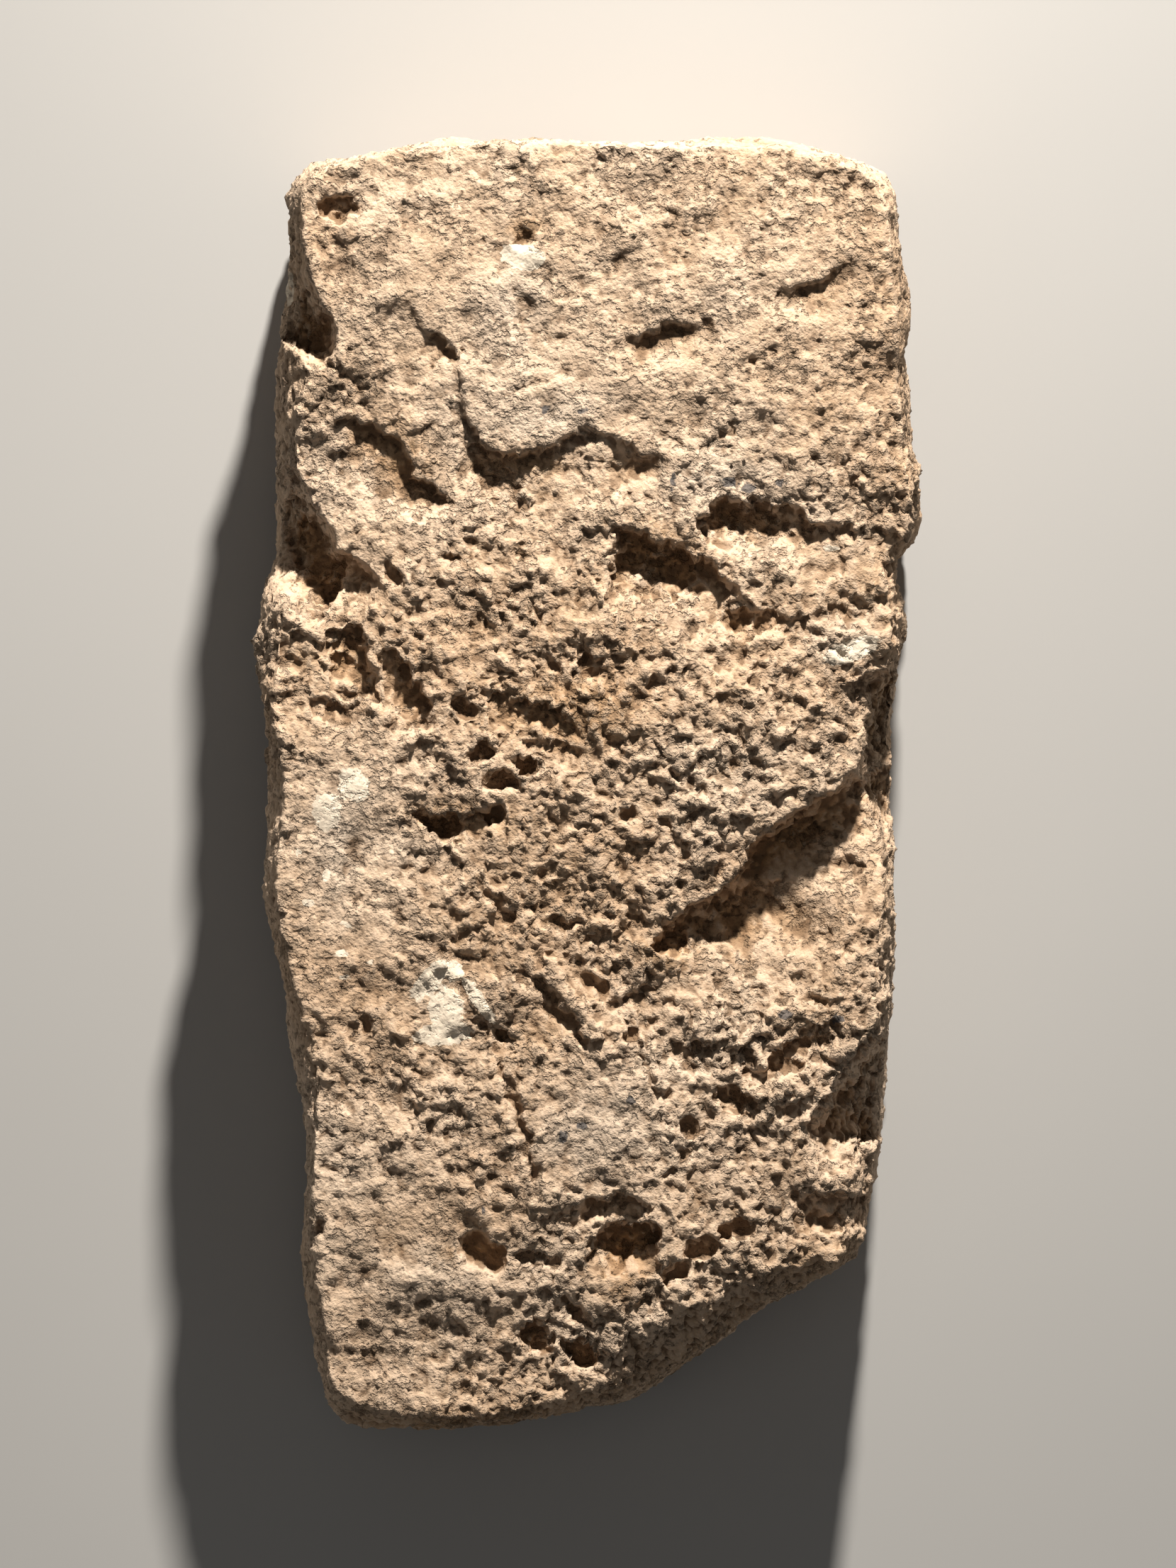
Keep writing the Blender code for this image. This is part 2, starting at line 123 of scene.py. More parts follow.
# Fineness of the mesh
CELL = 0.0021  # cell of the even mesh that takes the carving
CURVE_STEPS = 4  # straight pieces of a curve between two of its points
FACES = 196000  # triangles that are kept

# Low places: rounds in which the stone around a point is evened out, and the depth that counts as 1
LOW_PLACES = {"small_pits": (6, 0.0010), "large_pits": (160, 0.0100)}

# The front is drawn on a grid: x to the right, y down. Its full outline spans this box of the grid.
DRAWN_LEFT, DRAWN_TOP, DRAWN_RIGHT, DRAWN_BOTTOM = 353.0, 185.0, 1303.0, 2027.0

# Ribs of the slab, clockwise from the top left corner: a point of the full outline, and the point of the
# front's rim that goes with it.
TOP_RIBS = (
    ((404, 262), (420, 270)),
    ((426, 228), (442, 240)),
    ((500, 204), (505, 214)),
    ((600, 188), (602, 198)),
    ((737, 181), (738, 191)),
    ((840, 184), (840, 194)),
    ((960, 186), (960, 197)),
    ((1100, 186), (1096, 198)),
    ((1200, 208), (1190, 222)),
    ((1262, 240), (1247, 258)),
)
RIGHT_RIBS = (
    ((1276, 340), (1262, 345)),
    ((1291, 430), (1268, 440)),
    ((1284, 485), (1270, 485)),
    ((1290, 580), (1276, 585)),
    ((1303, 690), (1288, 685)),
    ((1301, 742), (1286, 735)),
    ((1270, 795), (1252, 790)),
    ((1283, 890), (1262, 885)),
    ((1269, 950), (1255, 946)),
    ((1263, 1020), (1226, 1020)),
    ((1261, 1090), (1216, 1095)),
    ((1266, 1200), (1248, 1205)),
    ((1266, 1350), (1246, 1350)),
    ((1264, 1450), (1240, 1438)),
    ((1257, 1530), (1196, 1532)),
    ((1248, 1610), (1178, 1612)),
    ((1232, 1720), (1202, 1716)),
    ((1203, 1782), (1180, 1784)),
)
FOOT_RIBS = (
    ((1125, 1826), (1140, 1772)),
    ((1066, 1862), (1060, 1806)),
    ((1000, 1916), (1000, 1834)),
    ((905, 1978), (892, 1885)),
    ((850, 1993), (852, 1950)),
    ((760, 2013), (760, 1986)),
    ((640, 2027), (640, 2003)),
    ((510, 2017), (512, 1991)),
    ((458, 1986), (464, 1956)),
)
LEFT_RIBS = (
    ((434, 1895), (458, 1893)),
    ((421, 1765), (440, 1765)),
    ((428, 1640), (438, 1645)),
    ((420, 1550), (442, 1556)),
    ((402, 1465), (436, 1470)),
    ((388, 1370), (408, 1375)),
    ((367, 1245), (384, 1250)),
    ((371, 1130), (398, 1135)),
    ((368, 1010), (382, 1010)),
    ((353, 925), (388, 925)),
    ((366, 835), (398, 835)),
    ((383, 760), (444, 770)),
    ((384, 685), (428, 688)),
    ((384, 590), (412, 590)),
    ((385, 500), (440, 500)),
    ((396, 400), (438, 400)),
    ((402, 310), (424, 310)),
)

# Sections of the edge from the widest level to the front: share of the height, share of the way to the rim.
EDGE_SECTIONS = ((0.62, 0.12), (0.84, 0.45), (0.95, 0.80), (1.0, 1.0))

# Ledges: grid x, grid y and drop along the line, then the widths in metres of the wall, of the low floor
# under it and of the slope on which the stone rises again. The stone drops to the right of who walks along.
LEDGES = {
    "left_of_upper_field": (
        (
            (577, 408, 0), (602, 455, 5), (650, 486, 8), (652, 530, 4), (664, 600, 6), (704, 628, 9),
            (745, 632, 10), (792, 614, 8), (826, 600, 5), (880, 616, 5), (925, 640, 5), (940, 684, 0),
        ),
        (0.004, 0.008, 0.050),
    ),
    "main_hollow": (
        (
            (866, 736, 0), (890, 742, 18), (940, 764, 20), (998, 782, 16), (1021, 815, 11),
            (1060, 838, 7), (1104, 862, 5), (1115, 880, 0),
        ),
        (0.005, 0.012, 0.045),
    ),
    "right_hollow": (
        (
            (965, 744, 0), (990, 716, 13), (1040, 703, 15), (1100, 708, 13), (1165, 732, 6),
            (1245, 738, 5), (1300, 750, 3),
        ),
        (0.005, 0.008, 0.030),
    ),
    "under_right_lobe": (
        ((1098, 880, 0), (1150, 862, 3), (1230, 830, 4), (1290, 805, 4)),
        (0.003, 0.005, 0.022),
    ),
    "on_right_lobe": (((1115, 808, 0), (1152, 790, 3), (1200, 782, 0)), (0.003, 0.003, 0.012)),
    "left_edge": (
        ((421, 268, 0), (429, 362, 20), (447, 414, 32), (464, 448, 36), (465, 490, 30), (444, 516, 0)),
        (0.012, 0.012, 0.024),
    ),
    "left_shelf": (
        (
            (464, 580, 0), (500, 584, 8), (548, 602, 9), (572, 640, 8), (586, 664, 10),
            (622, 684, 10), (650, 718, 0),
        ),
        (0.004, 0.007, 0.028),
    ),
    "left_shoulder": (
        (
            (400, 640, 0), (428, 690, 30), (456, 728, 42), (466, 768, 38), (500, 780, 20),
            (530, 812, 8), (548, 832, 0),
        ),
        (0.008, 0.018, 0.036),
    ),
    "left_hollow": (
        ((440, 900, 0), (475, 882, 8), (508, 897, 13), (528, 968, 11), (538, 992, 0)),
        (0.004, 0.008, 0.022),
    ),
    "left_scarp": (((530, 900, 0), (568, 926, 11), (600, 985, 13), (622, 1014, 0)), (0.005, 0.007, 0.030)),
    "left_slip": (((425, 985, 0), (470, 981, 6), (524, 1000, 0)), (0.003, 0.004, 0.016)),
    "middle_step": (((690, 968, 0), (720, 984, 7), (790, 1002, 7), (835, 1012, 0)), (0.004, 0.005, 0.022)),
    "middle_step_low": (((700, 1022, 0), (765, 1034, 6), (855, 1055, 0)), (0.004, 0.005, 0.022)),
    "twin_holes": (
        (
            (580, 1148, 0), (600, 1140, 13), (632, 1146, 14), (656, 1150, 3), (672, 1138, 12),
            (700, 1136, 13), (716, 1156, 0),
        ),
        (0.004, 0.007, 0.012),
    ),
    "channel": (
        (
            (905, 1345, 0), (968, 1284, 18), (1040, 1234, 26), (1084, 1172, 30), (1165, 1120, 34),
            (1310, 1056, 38),
        ),
        (0.011, 0.014, 0.080),
    ),
    "channel_end": (((851, 1424, 0), (884, 1406, 6), (908, 1382, 7), (930, 1352, 0)), (0.005, 0.004, 0.026)),
    "right_notch": (
        ((1150, 976, 0), (1196, 964, 10), (1235, 950, 34), (1312, 925, 46)),
        (0.006, 0.040, 0.020),
    ),
    "right_edge": (
        ((1190, 1112, 0), (1218, 1070, 36), (1221, 1020, 40), (1228, 985, 30), (1222, 950, 0)),
        (0.010, 0.040, 0.020),
    ),
    "right_scoop": (
        (
            (1176, 1668, 0), (1146, 1618, 20), (1150, 1584, 36), (1182, 1540, 46), (1206, 1492, 50),
            (1258, 1452, 50), (1320, 1425, 46),
        ),
        (0.014, 0.030, 0.040),
    ),
    "right_crack": (
        (
            (935, 1496, 0), (985, 1470, 6), (1050, 1478, 5), (1084, 1500, 8), (1120, 1466, 7),
            (1170, 1446, 6), (1222, 1416, 0),
        ),
        (0.003, 0.004, 0.018),
    ),
    "right_pocket": (
        ((1000, 1552, 0), (1030, 1540, 9), (1062, 1548, 8), (1080, 1560, 0)),
        (0.004, 0.005, 0.014),
    ),
    "over_dug_hole": (
        ((740, 1722, 0), (800, 1706, 6), (845, 1684, 9), (900, 1696, 9), (924, 1712, 0)),
        (0.004, 0.004, 0.020),
    ),
    "dug_hole": (
        (
            (822, 1802, 0), (832, 1760, 14), (866, 1732, 22), (908, 1728, 22), (934, 1758, 16),
            (930, 1810, 0),
        ),
        (0.006, 0.017, 0.026),
    ),
    "low_right_corner": (
        ((1100, 1700, 0), (1150, 1688, 10), (1215, 1690, 14), (1250, 1680, 10)),
        (0.005, 0.010, 0.016),
    ),
    "thin_ledge_middle": (
        ((846, 480, 0), (905, 466, 6), (955, 449, 6), (1012, 437, 0)),
        (0.003, 0.002, 0.030),
    ),
    "thin_ledge_right": (((1084, 413, 0), (1150, 388, 5), (1242, 342, 0)), (0.003, 0.002, 0.030)),
    "short_lip": (((815, 1298, 0), (864, 1313, 6), (904, 1276, 0)), (0.004, 0.003, 0.018)),
}

# Pits: grid centre x, y, half-width, half-height in grid squares, turn in degrees, depth.
PITS = {
    "top_left_pit": (474, 285, 34, 22, 0, 10),
    "top_cup": (739, 330, 16, 12, 0, 5),
    "channel_pocket": (952, 1330, 28, 18, -20, 8),
    "dug_hole_floor": (874, 1776, 32, 32, 0, 6),
    "foot_pit": (679, 1771, 38, 24, 32, 12),
    "foot_crack": (756, 1778, 32, 16, 10, 5),
    "foot_cup_left": (756, 1894, 26, 20, 0, 9),
    "foot_cup_right": (813, 1914, 26, 18, 20, 9),
    "foot_dent": (1038, 1740, 26, 15, 0, 9),
    "foot_dent_middle": (995, 1766, 24, 14, -20, 8),
    "foot_dent_left": (952, 1799, 26, 16, -25, 9),
    "panel_pit": (977, 1594, 17, 11, 0, 7),
    "right_pit": (1152, 1405, 16, 9, 0, 5),
    "middle_pit": (888, 1142, 18, 12, 0, 6),
    "long_pit": (826, 936, 11, 16, 20, 6),
    "low_slot": (800, 1297, 20, 9, 8, 6),
    "bar_pit": (714, 1459, 20, 11, 15, 7),
    "shelf_pit": (630, 781, 22, 9, 0, 5),
    "shelf_slot": (554, 808, 10, 20, -35, 6),
    "broken_pit_high": (652, 1000, 18, 12, 20, 7),
    "broken_pit_left": (676, 1060, 24, 16, -15, 10),
    "broken_pit_right": (738, 1076, 24, 13, 15, 9),
    "broken_pit_low": (700, 1100, 24, 13, 0, 9),
    "under_lobe_pit": (1045, 866, 24, 18, 10, 7),
    "left_low_pit": (519, 1442, 15, 9, 5, 5),
    "left_bottom_pit": (440, 1745, 14, 16, 0, 6),
}

# Raised bars: grid line, half-width in metres, height.
BARS = {
    "raised_bar": (((772, 1364), (836, 1453)), 0.0082, 6),
}

# Cut lines: grid line, half-width in metres, depth.
GROOVES = {
    "left_of_bar": (((744, 1370), (776, 1412), (822, 1472)), 0.0034, 3),
    "right_of_bar": (((800, 1350), (832, 1385), (866, 1424)), 0.0040, 4),
    "short_cut": (((924, 1140), (946, 1168), (965, 1202)), 0.0028, 4),
    "left_of_panel": (((706, 1496), (722, 1550), (738, 1602), (757, 1664)), 0.0032, 5),
    "right_of_panel": (((890, 1462), (914, 1508), (934, 1540)), 0.0034, 5),
    "slanting_cut": (((672, 1246), (692, 1268), (716, 1294)), 0.0040, 4),
}

# Cuts too fine for the solid.
FINE_GROOVES = {
    "bright_line": (((708, 549), (750, 532), (797, 514)), 0.0016, 2.0),
    "line_by_speck": (((985, 626), (1040, 600)), 0.0020, 2.5),
    "line_right_of_speck": (((1048, 512), (1092, 490)), 0.0020, 2.0),
    "line_over_shelf": (((458, 504), (510, 536)), 0.0025, 3.0),
    "crack_on_panel": (((938, 1662), (960, 1640), (988, 1624)), 0.0018, 3.0),
    "crack_in_crust": (((648, 1384), (660, 1420), (676, 1452)), 0.0022, 4.0),
    "low_groove": (((798, 1842), (836, 1872)), 0.0035, 5.0),
}

# Soft rises and sinkings of the front: grid centre x, y, half-width, half-height, turn in degrees, height.
SWELLINGS = {
    "upper_field": (840, 380, 520, 260, 0, 6),
    "middle_mass": (900, 1010, 330, 230, 15, 5),
    "low_panel": (835, 1590, 150, 130, 20, 5),
    "left_flank": (430, 740, 130, 300, 0, -10),
    "low_right_flank": (1120, 1330, 190, 90, 20, -6),
    "foot": (640, 1960, 420, 120, -5, -6),
    "right_border": (1280, 1000, 90, 700, 0, -5),
    "scoop_bed": (1240, 1600, 80, 120, 0, -5),
}

# How broken the surface is: grid centre x, y, half-width, half-height, turn, and what is added to 1.
BROKENNESS = {
    "smooth_upper_field": (800, 545, 150, 70, -15, -0.65),
    "smooth_under_thin_ledge": (955, 500, 120, 32, -12, -0.6),
    "smooth_slope": (1110, 1290, 160, 62, -25, -0.6),
    "smooth_panel": (835, 1590, 110, 110, 0, -0.6),
    "smooth_bar": (795, 1408, 60, 70, 0, -0.6),
    "even_upper_field": (940, 430, 520, 330, 0, -0.55),
    "smooth_left_plate": (645, 925, 48, 80, -15, -0.4),
    "grainy_lower_left": (560, 1800, 190, 220, 0, -0.62),
    "grainy_left": (480, 1270, 130, 280, 0, -0.6),
    "even_upper_left": (560, 380, 150, 190, 0, -0.45),
    "smooth_crust": (640, 1415, 66, 74, 0, -0.6),
    "calm_dug_hole": (877, 1800, 80, 80, 0, -0.5),
    "smooth_left_crust": (484, 1124, 50, 62, 0, -0.6),
    "even_left_flank": (540, 700, 130, 130, 0, -0.45),
    "broken_middle": (760, 960, 150, 140, 0, 0.15),
    "even_right_lobe": (1170, 790, 90, 60, 0, -0.3),
    "broken_low_right": (1100, 1500, 160, 110, 0, 0.45),
    "broken_foot": (900, 1880, 330, 80, -25, 0.4),
}

# Marks on the stone: grid centre x, y, half-width, half-height, turn in degrees.
MARKS = {
    "crust": (
        (502, 1106, 20, 27, -25), (463, 1144, 21, 28, 0), (607, 1382, 15, 38, 42), (640, 1368, 15, 14, 0),
        (676, 1410, 9, 42, -34), (630, 1422, 25, 32, 0), (626, 1458, 44, 16, -6), (738, 366, 34, 18, 10),
        (1200, 918, 44, 16, -20), (437, 1272, 12, 5, -8), (489, 1303, 10, 4, 20), (486, 1344, 12, 5, -15),
        (520, 1355, 12, 4, 30), (489, 1378, 9, 4, 0), (463, 1234, 6, 9, 20), (423, 1203, 4, 8, 0),
        (1172, 774, 13, 5, 0), (408, 405, 7, 24, 0),
    ),
    "bloom": (
        (780, 588, 95, 34, -8), (1012, 672, 95, 34, -5), (835, 1590, 100, 70, 0), (720, 420, 60, 90, 0),
        (474, 1200, 40, 120, 0), (1190, 900, 80, 46, -10), (620, 1800, 140, 60, 0),
    ),
    "speck": (
        (770, 580, 9, 7, 0), (822, 582, 10, 6, 0), (1026, 682, 13, 8, 0), (1052, 690, 14, 8, 0),
        (1100, 682, 10, 6, 0), (822, 1586, 10, 6, 0), (794, 1602, 8, 10, 0), (1106, 1430, 12, 7, 0),
        (1180, 1436, 10, 6, 0), (890, 1550, 8, 6, 0), (949, 683, 4, 18, 3), (683, 1702, 3, 9, 0),
    ),
    "ochre": (
        (875, 1790, 60, 60, 0), (1120, 1180, 130, 40, -28), (940, 1340, 50, 36, 0), (730, 650, 60, 26, 0),
        (940, 770, 80, 34, 20), (800, 1000, 130, 60, 0), (742, 326, 26, 20, 0), (632, 1767, 14, 12, 0),
        (1050, 1920, 240, 90, -30), (700, 2010, 240, 26, 0), (640, 1155, 90, 30, 0), (560, 640, 70, 50, 30),
    ),
}

# Colours
WARM = (0.52, 0.36, 0.235, 1)
PALE = (0.65, 0.50, 0.37, 1)
BROWN = (0.36, 0.235, 0.135, 1)
# painted shade: the near-black colour laid into small pits and creases
PIT_SHADE_COLOUR = (0.15, 0.09, 0.05, 1)
OCHRE = (0.33, 0.185, 0.08, 1)
BLOOM = (0.60, 0.49, 0.385, 1)
CRUST = (0.85, 0.74, 0.59, 1)
SPECK = (0.075, 0.075, 0.08, 1)
FLOOR = (0.46, 0.455, 0.445, 1)

# How each mark lies on the stone: size and strength of the noise that shakes its edge, the strengths between
# which it comes in, and how much of the stone under it is hidden
MARK_LOOKS = {
    "bloom": (0.012, 0.9, (0.45, 1.0), 0.6),
    "ochre": (0.02, 0.6, (0.35, 0.85), 0.6),
    "crust": (0.004, 0.42, (0.5, 0.54), 0.92),
    "speck": (0.003, 0.5, (0.5, 0.6), 0.85),
}

# Sizes in the stone's colour and grain, in metres
BROAD_SIZE = 0.16
PATCH_SIZE = 0.035
GRAIN_SIZE = 0.0021
CRUMB_SIZE = 0.0062
CLUSTER_SIZE = 0.034
PEBBLE_SIZE = 0.0036
SHAKE_SIZE = 0.006  # size of the noise that shakes the pebbles' edges, and how far it shifts them
CRUST_STAIN_SIZE = 0.004

# Values between which each effect comes in: of a noise, or of how low a place lies
COMES_IN = {
    "pale": (0.35, 0.65),
    "brown": (0.5, 0.72),
    # ochre and painted shade in deep hollows come in between these depths
    "deep": (0.1, 0.9),
    # painted shade in small pits and creases comes in between these depths
    "pit_shade": (0.15, 1.3),
    "edge": (-1.1, -0.2),
    "skin": (0.35, 0.46),
    "stain": (0.45, 0.9),
}

# Strengths in the stone's colour
PATCH_BROWN = 0.42
# ochre in deep hollows: partly the stone's own ochre, partly painted shade that darkens the hollows
DEEP_OCHRE_AND_SHADE = 0.85
# strength of the painted shade in small pits and creases
PIT_SHADE_STRENGTH = 0.75
EDGE_PALE = 0.4
GRAIN_LIGHT = (0.89, 1.10)
GAP_PAINTED_SHADE = 0.76  # painted shade: how much light the colour keeps between the grains, where the skin is open and the bump sinks

# Strengths in the stone's grain
CLUSTERS = 0.7  # how strongly the open skin keeps to its clusters
GAPS = 0.2  # how deep the gaps between the pebbles are against the crumb
CRUMB_HEIGHT = 0.36
SKIN_HEIGHT = 0.24
CRUST_HEIGHT = 0.22
UNDER_CRUST = 0.45  # share of the grain that shows through the crust
GRAIN_DEPTH = 0.0070  # depth in metres that counts as 1
STONE_ROUGHNESS = 0.95
STONE_GLOSS = 0.2

# The picture: its size in photograph pixels, and the grid point at its middle
PICTURE_HEIGHT = 2212
PICTURE_MIDDLE = (829.5, 1106.0)
CAMERA_DISTANCE = 8.0
SENSOR_HEIGHT = 36

# The studio. Each light has a place, a point it is aimed at, a size, a spread in degrees, a power, a colour.
LIGHTS = {
    "key": ((0.47, 3.15, 1.70), (0.0, 0.0, 0.15), 0.20, 90, 76, (1.0, 0.94, 0.86)),
    "fill": ((-0.6, -0.8, 3.0), (0.0, 0.0, 0.2), 2.4, 180, 4.5, (1.0, 0.97, 0.93)),
}
WORLD_COLOUR = (1.0, 0.98, 0.95, 1)
WORLD_LIGHT = 0.08
FLOOR_SIZE = 60.0
FLOOR_GAP = 0.0005
FLOOR_SHADE_SIZE = 0.5  # size of the floor's faint clouds
FLOOR_SHADE_FROM = (0.3, 0.7)  # values of their noise between which they come in
FLOOR_SHADE = (0.97, 1.0)  # and how light the floor is in and outside them
FLOOR_ROUGHNESS = 0.9


def square():
    """The size of a grid square across and up the stone, in metres."""
    return np.array((WIDTH / (DRAWN_RIGHT - DRAWN_LEFT), HEIGHT / (DRAWN_BOTTOM - DRAWN_TOP)))


def on_stone(points):
    """Grid points as x and y on the stone, in metres."""
    centre = np.array(((DRAWN_LEFT + DRAWN_RIGHT) / 2, (DRAWN_TOP + DRAWN_BOTTOM) / 2))
    return (np.asarray(points, float)[..., :2] - centre) * square() * (1, -1)


def smooth(low, high, value):
    """0 below low, 1 above high, and an S-shaped rise between them."""
    share = np.clip((value - low) / (high - low), 0, 1)
    return share * share * (3 - 2 * share)


def flowing(points, closed=False):
    """A smooth curve through the points, as a row of more points."""
    points = np.array(points, float)
    if closed:
        padded = np.concatenate((points[-1:], points, points[:2]))
    else:
        padded = np.concatenate((points[:1], points, points[-1:]))
    row = []
    for before, start, end, after in zip(padded[:-3], padded[1:-2], padded[2:-1], padded[3:]):
        for share in np.arange(CURVE_STEPS) / CURVE_STEPS:
            bend = (2 * before - 5 * start + 4 * end - after) * share**2
            twist = (3 * start - before - 3 * end + after) * share**3
            row.append((2 * start + (end - before) * share + bend + twist) / 2)
    return np.array(row if closed else row + [points[-1]])


def along(route, places):
    """For each place, the nearest point of the route: how far away it is, counted as positive to the right
    of someone who walks along it, and where it lies, counted in stretches of the route."""
    nearest = np.full(len(places), np.inf)
    signed = np.zeros(len(places))
    where = np.zeros(len(places))
    for number, (start, end) in enumerate(zip(route[:-1], route[1:])):
        direction = end - start
        reach = places - start
        share = np.clip(reach @ direction / (direction @ direction), 0, 1)
        away = np.hypot(*(reach - share[:, None] * direction).T)
        to_right = direction[1] * reach[:, 0] - direction[0] * reach[:, 1]
        nearer = away < nearest
        nearest[nearer] = away[nearer]
        signed[nearer] = (np.sign(to_right) * away)[nearer]
        where[nearer] = number + share[nearer]
    return signed, where


def ledge_height(places, line, widths):
    """The stone drops over the wall on the right of the line, stays low on the floor, then rises again."""
    wall, floor, slope = widths
    foot = wall + floor
    curve = flowing(line)
    route = on_stone(curve)
    height = np.zeros(len(places))
    near = ((places > route.min(0) - foot - slope) & (places < route.max(0) + foot + slope)).all(1)
    lee, where = along(route, places[near])
    drop = np.interp(where, np.arange(len(curve)), np.maximum(curve[:, 2], 0))
    scarp = 1 - (1 - np.clip(lee / wall, 0, 1)) ** 2
    height[near] = -drop * scarp * (1 - smooth(foot, foot + slope, lee))
    return height


def oval(places, centre_x, centre_y, half_width, half_height, turn):
    """How far each place is from an oval's centre: 1 on the oval. A positive turn is clockwise."""
    reach = (places - on_stone((centre_x, centre_y))) / square() * (1, -1)
    cosine, sine = np.cos(np.radians(turn)), np.sin(np.radians(turn))
    across = reach[:, 0] * cosine + reach[:, 1] * sine
    down = reach[:, 1] * cosine - reach[:, 0] * sine
    return np.hypot(across / half_width, down / half_height)


def pit_height(places, centre_x, centre_y, half_width, half_height, turn, depth):
    away = oval(places, centre_x, centre_y, half_width, half_height, turn)
    return -depth * (1 - smooth(*PIT_EDGE, away))


def swelling_height(places, centre_x, centre_y, half_width, half_height, turn, height):
    away = oval(places, centre_x, centre_y, half_width, half_height, turn)
    return height * (1 - smooth(*SWELLING_EDGE, away))


def bar_height(places, line, half_width, height):
    away = np.abs(along(on_stone(line), places)[0]) / half_width
    return height * np.sqrt(np.clip(1 - away**4, 0, 1))


def groove_height(places, line, half_width, depth):
    away = np.abs(along(on_stone(line), places)[0])
    inner, outer = GROOVE_EDGE
    return -depth * (1 - smooth(inner * half_width, outer * half_width, away))


def wander(points, amount, size):
    """A smooth random shift at each point, the same in every run."""
    noise.seed_set(WANDER_SEED)
    return amount * np.array([noise.noise_vector(Vector(point) / size) for point in points])


def waves(points, amount, size, octaves, seed):
    """Rough ground at each point: a sum of noises, each half as long and half as high as the last."""
    shift = Vector((0, seed, 0))
    places = [Vector(point) / size + shift for point in points]
    return amount * np.array([noise.fractal(place, 1.0, 2.0, octaves) for place in places])


def plain_noise(points, size, seed):
    """Smooth noise of about -1 to 1 at each point."""
    shift = Vector((seed, 0, seed))
    return np.array([noise.noise(Vector(point) / size + shift) for point in points])


def crumbly_noise(points, size, seed):
    """Noise of rounded lumps with sharp creases between them, about 0 to 1, at each point."""
    shift = Vector((0, seed, seed))
    layers = {
        "noise_basis": "PERLIN_ORIGINAL",
        "amplitude_scale": CLOD_ROUGHNESS,
        "frequency_scale": CLOD_FINER,
    }
    places = [Vector(point) / size + shift for point in points]
    return np.array([noise.turbulence(place, CLOD_LAYERS, True, **layers) for place in places])


def slanted(points):
    """The points in turned and squeezed coordinates, in which long lumps of the broken skin are round."""
    cosine, sine = np.cos(np.radians(SLANT)), np.sin(np.radians(SLANT))
    lengthwise = points[:, 0] * cosine - points[:, 1] * sine
    crosswise = points[:, 0] * sine + points[:, 1] * cosine
    return np.stack((lengthwise / STRETCH, crosswise, points[:, 2]), 1)


def broken_surface(points):
    """How far the stone's broken skin lies from its smooth form at each point, in metres."""
    frayed = wander(points, FINE_RAGGED, FINE_RAGGED_SIZE) + wander(points, FRAYED, FRAYED_SIZE)
    ragged = slanted(points + frayed)
    depth = CLODS * (crumbly_noise(ragged, CLOD_SIZE, CLOD_SEED) - 0.5)
    for number, (size, drop) in enumerate(FLAKES):
        depth -= drop * smooth(*FLAKE_EDGE, plain_noise(ragged, size, FLAKE_SEED + number))
    groups = GROUPING * plain_noise(points, HOLE_GROUPS, GROUP_SEED)
    holes = waves(ragged, 1.0, HOLE_SIZE, 2, HOLE_SEED) + groups
    return depth - HOLES * smooth(*HOLE_EDGE, holes)


def brokenness(places):
    """How strongly the broken skin shows at each place of the front."""
    amount = np.ones(len(places))
    for sizes in BROKENNESS.values():
        amount += swelling_height(places, *sizes)
    return np.clip(amount, *BROKEN_LIMITS)


def fraying_share(shape, sizes):
    """The share of the fraying that a feature takes. The walls of deep ledges stay straighter."""
    deep = shape is ledge_height and max(drop for _, _, drop in sizes[0]) > DEEP_LEDGE
    return DEEP_FRAYING if deep else 1


def front_height(points):
    """Height of the carved front over its rim at each point, in metres."""
    flat = points * (1, 1, 0)
    places = (flat + wander(flat, RAGGED, RAGGED_SIZE))[:, :2]
    fraying = wander(flat, FINE_RAGGED, FINE_RAGGED_SIZE)
    fraying += wander(flat, LINE_FRAYING * FRAYED, FRAYED_SIZE)
    height = np.zeros(len(places))
    for shape, features in (
        (swelling_height, SWELLINGS),
        (ledge_height, LEDGES),
        (pit_height, PITS),
        (bar_height, BARS),
        (groove_height, GROOVES),
        (groove_height, FINE_GROOVES),
    ):
        for sizes in features.values():
            height += shape(places + fraying[:, :2] * fraying_share(shape, sizes), *sizes)
    height = np.maximum(height, -DEEPEST) * DEPTH_UNIT
    height += waves(flat, SWELL, SWELL_SIZE, 3, SWELL_SEED)
    return height + waves(flat, LUMPS, LUMP_SIZE, 3, LUMP_SEED)


def slab_sections():
    """The slab's cross-sections from the back to the front, each a level and an outline."""
    ribs = np.array(TOP_RIBS + RIGHT_RIBS + FOOT_RIBS + LEFT_RIBS, float)
    full = on_stone(flowing(ribs[:, 0], closed=True))
    rim = on_stone(flowing(ribs[:, 1], closed=True))
    chamfer = 2 * BACK_CHAMFER / np.array((WIDTH, HEIGHT))
    sections = [
        (0.0, full * (1 - chamfer)),
        (WIDEST_FROM / 3, full * (1 - chamfer / 3)),
        (WIDEST_FROM, full),
        (WIDEST_TO, full),
    ]
    for share_up, share_in in EDGE_SECTIONS:
        sections.append((WIDEST_TO + (THICKNESS - WIDEST_TO) * share_up, full + (rim - full) * share_in))
    return sections


